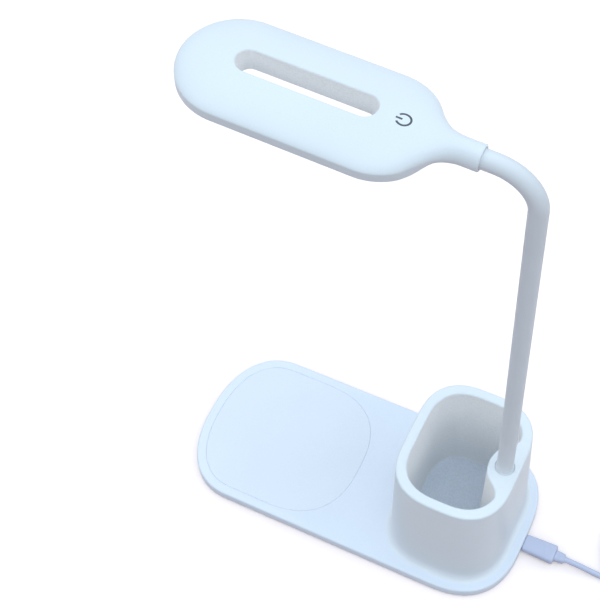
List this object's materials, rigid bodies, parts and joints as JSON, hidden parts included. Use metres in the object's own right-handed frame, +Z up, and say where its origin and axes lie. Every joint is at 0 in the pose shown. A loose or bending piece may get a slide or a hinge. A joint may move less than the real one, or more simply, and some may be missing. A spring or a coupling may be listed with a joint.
{
  "type": "desk lamp",
  "caption": "Desk lamp with a slotted oval light head on a flexible sleeved neck, a pen holder at its foot and a flat base with a charging pad and a coiled supply lead.",
  "frame": {"origin": "on the table, under the middle of the base plate", "axes": "+Z up; +X from the charging pad towards the pen holder and the lead; +Y towards the far side of the picture"},
  "size_m": [0.3146, 0.092, 0.322],
  "materials": {
    "housing": "satin white with a faint blue cast",
    "under_cover": "matt white",
    "winding": "enamelled winding wire",
    "ferrite": "dull dark sheet",
    "steel": "plain",
    "circuit_board": "solder mask",
    "light_board": "white solder mask with pale chips",
    "diffuser": "frosted",
    "sleeve": "matt soft sleeve",
    "foot_rubber": "matt",
    "lead": "satin pale blue grey"
  },
  "bodies": {
    "root": {"base_top_cover": "housing", "base_bottom_cover": "under_cover", "charging_pad": "housing", "charging_coil": "winding", "ferrite_sheet": "ferrite", "ballast_plate": "steel", "main_board": "circuit_board", "usb_socket": "steel", "rubber_foot_1": "foot_rubber", "rubber_foot_2": "foot_rubber", "rubber_foot_3": "foot_rubber", "rubber_foot_4": "foot_rubber", "base_screw_1": "steel", "base_screw_2": "steel", "base_screw_3": "steel", "base_screw_4": "steel", "pen_holder": "housing", "holder_screw_1": "steel", "holder_screw_2": "steel", "neck_grommet": "sleeve", "neck_ferrule": "steel", "neck_sleeve_0": "sleeve", "neck_core_0": "steel", "usb_plug_tip": "steel", "usb_plug_body": "lead", "usb_strain_relief": "lead", "usb_cord": "lead", "usb_cord_coil": "lead", "coil_tie": "foot_rubber", "supply_relief": "lead", "supply_plug_body": "lead", "supply_plug_shell": "steel"},
    "neck_1": {"neck_sleeve_1": "sleeve", "neck_core_1": "steel"},
    "neck_2": {"neck_sleeve_2": "sleeve", "neck_core_2": "steel"},
    "neck_3": {"neck_sleeve_3": "sleeve", "neck_core_3": "steel"},
    "neck_4": {"neck_sleeve_4": "sleeve", "neck_core_4": "steel"},
    "neck_5": {"neck_sleeve_5": "sleeve", "neck_core_5": "steel"},
    "neck_6": {"neck_sleeve_6": "sleeve", "neck_core_6": "steel"},
    "neck_7": {"neck_sleeve_7": "sleeve", "neck_core_7": "steel"},
    "neck_8": {"neck_sleeve_8": "sleeve", "neck_core_8": "steel"},
    "head": {"neck_sleeve_9": "sleeve", "neck_core_9": "steel", "head_shell": "housing", "head_diffuser": "diffuser", "led_board": "light_board", "touch_board": "circuit_board", "touch_spring": "steel", "head_screw_1": "steel", "head_screw_2": "steel", "head_ferrule": "steel"}
  },
  "joints": [
    {"name": "lean_1", "type": "hinge", "parent": "root", "child": "neck_1", "pos_m": [0.079, 0, 0.0992], "axis": [0, -1, 0], "range_deg": [-10, 15]},
    {"name": "side_1", "type": "hinge", "parent": "neck_1", "child": "neck_2", "pos_m": [0.07869, 0, 0.1352], "axis": [1, 0, 0], "range_deg": [-12, 12]},
    {"name": "lean_2", "type": "hinge", "parent": "neck_2", "child": "neck_3", "pos_m": [0.07837, 0, 0.1712], "axis": [0, -1, 0], "range_deg": [-10, 15]},
    {"name": "side_2", "type": "hinge", "parent": "neck_3", "child": "neck_4", "pos_m": [0.07806, 0, 0.2072], "axis": [1, 0, 0], "range_deg": [-12, 12]},
    {"name": "lean_3", "type": "hinge", "parent": "neck_4", "child": "neck_5", "pos_m": [0.07774, 0, 0.24319], "axis": [0, -1, 0], "range_deg": [-10, 15]},
    {"name": "side_3", "type": "hinge", "parent": "neck_5", "child": "neck_6", "pos_m": [0.07743, 0, 0.27919], "axis": [1, 0, 0], "range_deg": [-12, 12]},
    {"name": "tilt_1", "type": "hinge", "parent": "neck_6", "child": "neck_7", "pos_m": [0.07664, 0, 0.29707], "axis": [0, -1, 0], "range_deg": [-20, 10]},
    {"name": "tilt_2", "type": "hinge", "parent": "neck_7", "child": "neck_8", "pos_m": [0.07175, 0, 0.30576], "axis": [0, -1, 0], "range_deg": [-20, 10]},
    {"name": "tilt_3", "type": "hinge", "parent": "neck_8", "child": "head", "pos_m": [0.06328, 0, 0.31101], "axis": [0, -1, 0], "range_deg": [-20, 10]}
  ],
  "couplings": [
    {"joint": "lean_2", "follows": "lean_1", "ratio": 1},
    {"joint": "lean_3", "follows": "lean_1", "ratio": 1},
    {"joint": "side_2", "follows": "side_1", "ratio": 1},
    {"joint": "side_3", "follows": "side_1", "ratio": 1},
    {"joint": "tilt_2", "follows": "tilt_1", "ratio": 1},
    {"joint": "tilt_3", "follows": "tilt_1", "ratio": 1}
  ]
}
